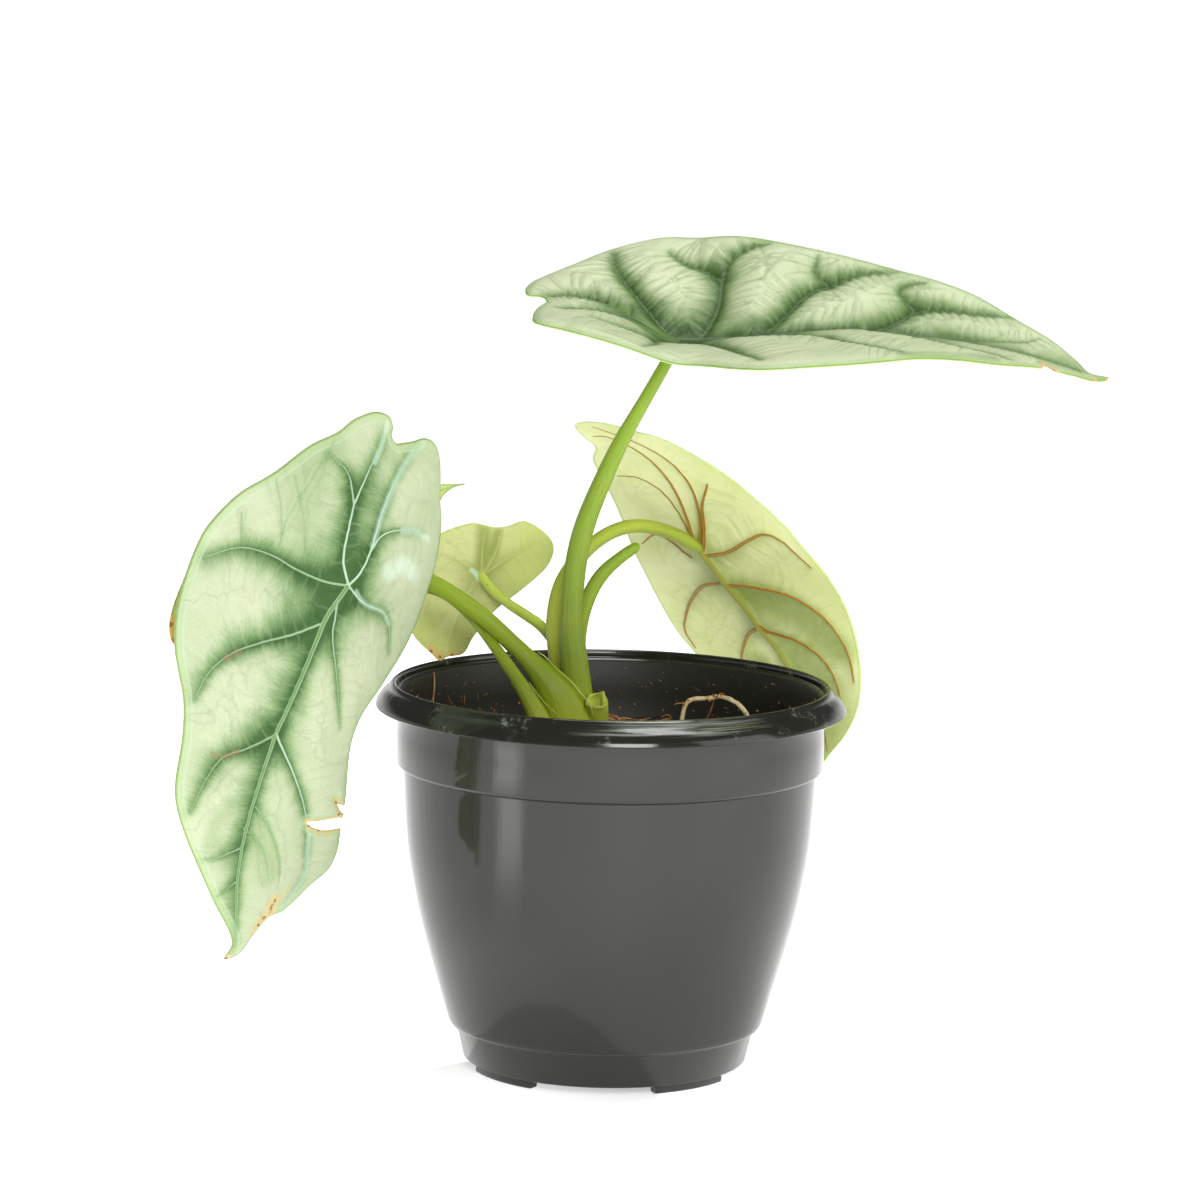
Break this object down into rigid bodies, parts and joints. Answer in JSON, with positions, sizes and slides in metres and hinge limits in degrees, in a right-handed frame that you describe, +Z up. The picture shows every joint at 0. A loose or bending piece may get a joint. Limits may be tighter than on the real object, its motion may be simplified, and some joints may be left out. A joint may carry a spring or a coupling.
{
  "type": "potted silver dragon alocasia",
  "caption": "Silver-leaved alocasia with arching stalks and drooping heart-shaped leaves, rooted in a dark round nursery pot of soil.",
  "frame": {"origin": "floor level under the middle of the whole plant's outer box; the pot's axis stands 8 mm to the left of it and 4 mm in front of it", "axes": "+X to the viewer's right, towards the tip of the top leaf; +Y away from the viewer; +Z up"},
  "size_m": [0.2505, 0.1518, 0.2299],
  "materials": {
    "pot_plastic": "glossy near-black moulded plastic",
    "soil_mix": "damp dark coir and bark potting mix",
    "root_tissue": "matt cream to tan root skin",
    "leaf_silver": "thick leaf, satin silver-green above, pale yellow-green below",
    "leaf_pale": "thin young leaf, pale yellow-green",
    "leaf_old": "ageing leaf, yellow and orange-brown at the edge",
    "stalk_green": "smooth waxy green stalk"
  },
  "bodies": {
    "root": {"pot": "pot_plastic", "soil": "soil_mix", "corm": "root_tissue", "surface_root": "root_tissue", "top_leaf_blade": "leaf_silver", "left_leaf_blade": "leaf_silver", "right_leaf_blade": "leaf_silver", "small_leaf_blade": "leaf_pale", "old_leaf_blade": "leaf_old", "top_leaf_stalk": "stalk_green", "left_leaf_stalk": "stalk_green", "right_leaf_stalk": "stalk_green", "small_leaf_stalk": "stalk_green", "old_leaf_stalk": "stalk_green", "cut_stalk": "stalk_green", "cut_leaf_base": "stalk_green"}
  },
  "joints": []
}
